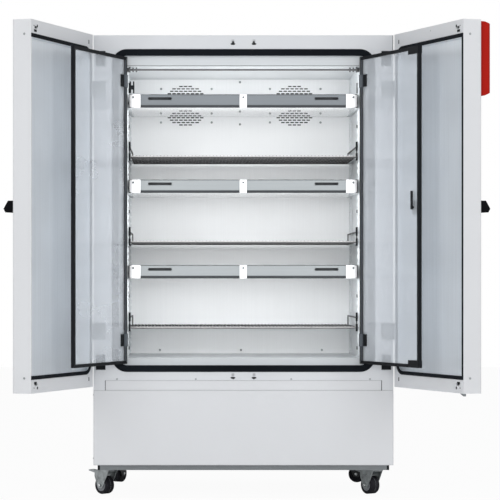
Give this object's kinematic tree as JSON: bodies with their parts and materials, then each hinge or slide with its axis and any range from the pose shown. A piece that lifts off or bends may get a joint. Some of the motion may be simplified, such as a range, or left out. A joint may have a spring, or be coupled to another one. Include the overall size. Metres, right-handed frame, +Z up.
{
  "type": "climate chamber",
  "caption": "Two-door climate chamber on castors: insulated cabinet with inner glass doors, wire shelves, light cassettes, fans, door-mounted controller and cooling machine in its base.",
  "frame": {"origin": "on the floor, below the middle of the box that the chamber fills with its doors open", "axes": "+Z up, +Y from the open front to the back, +X to the right as seen from the front"},
  "size_m": [1.9089, 1.4171, 1.925],
  "materials": {
    "white_paint": "satin",
    "foam": "matte",
    "stainless": "satin",
    "cassette_metal": "satin",
    "lamp_glass": "gloss",
    "zinc_steel": "satin",
    "black_rubber": "matte",
    "black_plastic": "satin",
    "castor_tread": "matte",
    "pane_glass": "gloss",
    "screen_glass": "gloss",
    "red_housing": "satin",
    "fin_aluminium": "satin",
    "machine_black": "satin",
    "cabinet_grey": "matte"
  },
  "bodies": {
    "cabinet": {"outer_casing": "white_paint", "rear_panel": "white_paint", "front_frame": "white_paint", "insulation_foam": "foam", "chamber_liner": "stainless", "chamber_gasket": "black_rubber", "air_panel": "stainless", "fan_motors": "black_plastic", "evaporator_coil": "fin_aluminium", "ceiling_rail": "stainless", "shelf_ladders": "stainless", "sill_strip": "white_paint", "base_front_panel": "white_paint", "base_chassis": "zinc_steel", "chassis_end_caps": "black_plastic", "compressor": "machine_black", "condenser": "fin_aluminium", "electronics_box": "cabinet_grey", "latch_strikers": "zinc_steel", "door_hinge_leaves": "zinc_steel", "glass_door_pivots": "black_plastic", "access_port": "black_plastic"},
    "left_door": {"left_door_shell": "white_paint", "left_door_liner": "stainless", "left_door_gasket": "black_rubber"},
    "left_handle": {"left_door_handle": "black_plastic"},
    "left_latch": {"left_latch_rod": "zinc_steel"},
    "left_glass_door": {"left_glass_pane": "pane_glass", "left_glass_frame": "black_plastic"},
    "right_door": {"right_door_shell": "white_paint", "right_door_liner": "stainless", "right_door_gasket": "black_rubber", "controller_housing": "red_housing", "controller_screen": "screen_glass"},
    "right_handle": {"right_door_handle": "black_plastic"},
    "right_latch": {"right_latch_rod": "zinc_steel"},
    "right_glass_door": {"right_glass_pane": "pane_glass", "right_glass_frame": "black_plastic"},
    "glass_latch": {"glass_door_latch": "black_plastic"},
    "shelf_1": {"shelf_1": "stainless"},
    "shelf_2": {"shelf_2": "stainless"},
    "shelf_3": {"shelf_3": "stainless"},
    "cassette_1": {"light_cassette_1": "cassette_metal", "lamp_tubes_1": "lamp_glass"},
    "cassette_2": {"light_cassette_2": "cassette_metal", "lamp_tubes_2": "lamp_glass"},
    "cassette_3": {"light_cassette_3": "cassette_metal", "lamp_tubes_3": "lamp_glass"},
    "left_fan": {"left_fan_rotor": "black_plastic"},
    "right_fan": {"right_fan_rotor": "black_plastic"},
    "fork_front_left": {"castor_fork_front_left": "zinc_steel"},
    "wheel_front_left": {"castor_wheel_front_left": "castor_tread"},
    "brake_front_left": {"castor_brake_front_left": "black_plastic"},
    "fork_front_right": {"castor_fork_front_right": "zinc_steel"},
    "wheel_front_right": {"castor_wheel_front_right": "castor_tread"},
    "brake_front_right": {"castor_brake_front_right": "black_plastic"},
    "fork_rear_left": {"castor_fork_rear_left": "zinc_steel"},
    "wheel_rear_left": {"castor_wheel_rear_left": "castor_tread"},
    "fork_rear_right": {"castor_fork_rear_right": "zinc_steel"},
    "wheel_rear_right": {"castor_wheel_rear_right": "castor_tread"}
  },
  "joints": [
    {"name": "left_door_hinge", "type": "hinge", "parent": "cabinet", "child": "left_door", "pos_m": [-0.6327, -0.11596, 1.194], "axis": [0, 0, -1], "range_deg": [-110.4, 0]},
    {"name": "left_glass_hinge", "type": "hinge", "parent": "cabinet", "child": "left_glass_door", "pos_m": [-0.506, -0.10046, 1.194], "axis": [0, 0, -1], "range_deg": [-112.5, 0]},
    {"name": "left_handle_turn", "type": "hinge", "parent": "left_door", "child": "left_handle", "pos_m": [-0.9027, -0.64257, 1.194], "axis": [-0.9373, 0.3486, 0], "range_deg": [0, 60]},
    {"name": "left_latch_turn", "type": "hinge", "parent": "left_door", "child": "left_latch", "pos_m": [-0.84672, -0.65646, 1.194], "axis": [0, 0, 1], "range_deg": [0, 20.1]},
    {"name": "right_door_hinge", "type": "hinge", "parent": "cabinet", "child": "right_door", "pos_m": [0.6327, -0.11596, 1.194], "axis": [0, 0, 1], "range_deg": [-110.4, 0]},
    {"name": "right_glass_hinge", "type": "hinge", "parent": "cabinet", "child": "right_glass_door", "pos_m": [0.506, -0.10046, 1.194], "axis": [0, 0, 1], "range_deg": [-112.5, 0]},
    {"name": "right_handle_turn", "type": "hinge", "parent": "right_door", "child": "right_handle", "pos_m": [0.9027, -0.64257, 1.194], "axis": [0.9373, 0.3486, 0], "range_deg": [0, 60]},
    {"name": "right_latch_turn", "type": "hinge", "parent": "right_door", "child": "right_latch", "pos_m": [0.84672, -0.65646, 1.194], "axis": [0, 0, -1], "range_deg": [0, 20.1]},
    {"name": "glass_latch_turn", "type": "hinge", "parent": "right_glass_door", "child": "glass_latch", "pos_m": [0.67974, -0.5199, 1.194], "axis": [0.9239, 0.3827, 0], "range_deg": [0, 90]},
    {"name": "shelf_1_slide", "type": "slide", "parent": "cabinet", "child": "shelf_1", "axis": [0, -1, 0], "range_m": [0, 0.4]},
    {"name": "shelf_2_slide", "type": "slide", "parent": "cabinet", "child": "shelf_2", "axis": [0, -1, 0], "range_m": [0, 0.4]},
    {"name": "shelf_3_slide", "type": "slide", "parent": "cabinet", "child": "shelf_3", "axis": [0, -1, 0], "range_m": [0, 0.4]},
    {"name": "cassette_1_slide", "type": "slide", "parent": "cabinet", "child": "cassette_1", "axis": [0, -1, 0], "range_m": [0, 0.3]},
    {"name": "cassette_2_slide", "type": "slide", "parent": "cabinet", "child": "cassette_2", "axis": [0, -1, 0], "range_m": [0, 0.3]},
    {"name": "cassette_3_slide", "type": "slide", "parent": "cabinet", "child": "cassette_3", "axis": [0, -1, 0], "range_m": [0, 0.3]},
    {"name": "left_fan_spin", "type": "hinge", "parent": "cabinet", "child": "left_fan", "pos_m": [-0.242, 0.54204, 1.68], "axis": [0, 1, 0], "continuous": true},
    {"name": "right_fan_spin", "type": "hinge", "parent": "cabinet", "child": "right_fan", "pos_m": [0.242, 0.54204, 1.68], "axis": [0, 1, 0], "continuous": true},
    {"name": "swivel_front_left", "type": "hinge", "parent": "cabinet", "child": "fork_front_left", "pos_m": [-0.56, 0.03154, 0.105], "axis": [0, 0, 1], "continuous": true},
    {"name": "wheel_spin_front_left", "type": "hinge", "parent": "fork_front_left", "child": "wheel_front_left", "pos_m": [-0.58413, 0.05405, 0.0375], "axis": [-0.682, -0.7314, 0], "continuous": true},
    {"name": "brake_press_front_left", "type": "hinge", "parent": "fork_front_left", "child": "brake_front_left", "pos_m": [-0.59949, 0.06837, 0.086], "axis": [-0.682, -0.7314, 0], "range_deg": [0, 8]},
    {"name": "swivel_front_right", "type": "hinge", "parent": "cabinet", "child": "fork_front_right", "pos_m": [0.56, 0.03154, 0.105], "axis": [0, 0, 1], "continuous": true},
    {"name": "wheel_spin_front_right", "type": "hinge", "parent": "fork_front_right", "child": "wheel_front_right", "pos_m": [0.5406, 0.05824, 0.0375], "axis": [-0.809, -0.5878, 0], "continuous": true},
    {"name": "brake_press_front_right", "type": "hinge", "parent": "fork_front_right", "child": "brake_front_right", "pos_m": [0.52826, 0.07523, 0.086], "axis": [-0.809, -0.5878, 0], "range_deg": [0, 8]},
    {"name": "swivel_rear_left", "type": "hinge", "parent": "cabinet", "child": "fork_rear_left", "pos_m": [-0.56, 0.59954, 0.105], "axis": [0, 0, 1], "continuous": true},
    {"name": "wheel_spin_rear_left", "type": "hinge", "parent": "fork_rear_left", "child": "wheel_rear_left", "pos_m": [-0.5435, 0.62812, 0.0375], "axis": [-0.866, 0.5, 0], "continuous": true},
    {"name": "swivel_rear_right", "type": "hinge", "parent": "cabinet", "child": "fork_rear_right", "pos_m": [0.56, 0.59954, 0.105], "axis": [0, 0, 1], "continuous": true},
    {"name": "wheel_spin_rear_right", "type": "hinge", "parent": "fork_rear_right", "child": "wheel_rear_right", "pos_m": [0.52899, 0.61083, 0.0375], "axis": [-0.342, -0.9397, 0], "continuous": true}
  ],
  "couplings": [
    {"joint": "left_glass_hinge", "follows": "left_door_hinge", "ratio": 1.019},
    {"joint": "left_latch_turn", "follows": "left_handle_turn", "ratio": 0.3333},
    {"joint": "right_glass_hinge", "follows": "right_door_hinge", "ratio": 1.019},
    {"joint": "right_latch_turn", "follows": "right_handle_turn", "ratio": 0.3333}
  ]
}
